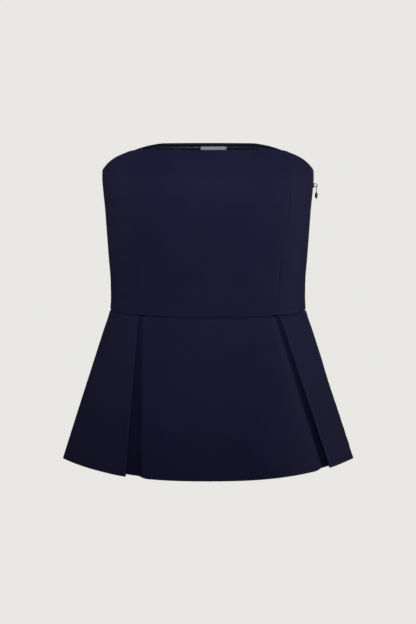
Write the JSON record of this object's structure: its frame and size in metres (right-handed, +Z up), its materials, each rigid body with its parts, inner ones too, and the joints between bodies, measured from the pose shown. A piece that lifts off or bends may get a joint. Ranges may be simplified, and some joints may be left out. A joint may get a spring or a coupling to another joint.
{
  "type": "peplum top",
  "caption": "Strapless fitted top with a flared peplum, two knife pleats at the front and a side zip with a swinging pull, in its hollow worn form.",
  "frame": {"origin": "on the torso's upright axis inside the chest, level with the top edge at the underarms, where the wearer holds the top up", "axes": "+Z up, -Y towards the front, +X towards the wearer's left, where the zip is"},
  "size_m": [0.3997, 0.2926, 0.4287],
  "materials": {
    "crepe": "smooth navy stretch crepe, close plain weave, soft sheen",
    "grip_tape": "dark elastic tape with a faint gloss",
    "label": "grey woven label, bare",
    "zip_cloth": "knitted navy zip tape with its coil",
    "zip_metal": "dark enamelled metal, semi-gloss"
  },
  "bodies": {
    "top": {"bodice_front_centre": "crepe", "bodice_front_side_left": "crepe", "bodice_front_side_right": "crepe", "bodice_back": "crepe", "peplum_front": "crepe", "peplum_back": "crepe", "grip_tape_back": "grip_tape", "neck_label": "label", "zip_tape": "zip_cloth", "zip_slider": "zip_metal"},
    "pull": {"zip_pull": "zip_metal"}
  },
  "joints": [
    {"name": "pull_swing", "type": "hinge", "parent": "top", "child": "pull", "pos_m": [0.14611, 0, -0.0206], "axis": [0, -1, 0], "range_deg": [0, 150]}
  ]
}
